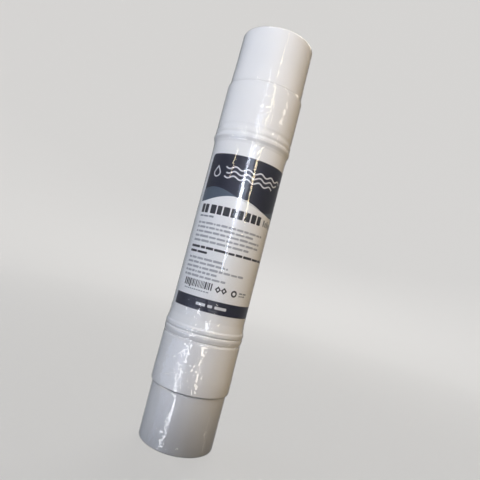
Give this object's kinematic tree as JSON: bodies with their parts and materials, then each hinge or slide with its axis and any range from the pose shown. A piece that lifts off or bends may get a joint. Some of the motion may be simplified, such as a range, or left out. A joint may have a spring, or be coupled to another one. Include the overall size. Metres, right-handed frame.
{
  "type": "ro membrane element",
  "caption": "Round in-line cartridge with a wound membrane sealed inside, stepped end caps with recessed threaded ports, a label and a clear shrunk film.",
  "frame": {"origin": "centre of the inlet end's film lip, on the surface that the element stands on", "axes": "+Z along the element's axis from the inlet end to the outlet end; -Y is the label's front; the two outlet ports lie along X"},
  "size_m": [0.0536, 0.0536, 0.28],
  "materials": {
    "cap_plastic": "moulded polypropylene, satin",
    "tube_plastic": "moulded polypropylene, satin",
    "label_print": "printed label: white with dark navy bands",
    "clear_film": "clear shrunk film, glossy, crinkled",
    "membrane": "wound membrane and net",
    "tape": "polypropylene tape",
    "core_plastic": "moulded plastic",
    "disc_plastic": "moulded plastic",
    "seal_rubber": "black rubber"
  },
  "bodies": {
    "root": {"inlet_end_cap": "cap_plastic", "outlet_end_cap": "cap_plastic", "body_tube": "tube_plastic", "label": "label_print", "shrink_film": "clear_film", "membrane_roll": "membrane", "wrap_tape": "tape", "permeate_tube": "core_plastic", "permeate_tube_plug": "core_plastic", "permeate_seal_inner": "seal_rubber", "permeate_seal_outer": "seal_rubber", "feed_end_disc": "disc_plastic", "brine_end_disc": "disc_plastic", "brine_seal": "seal_rubber", "permeate_manifold": "disc_plastic"}
  },
  "joints": []
}
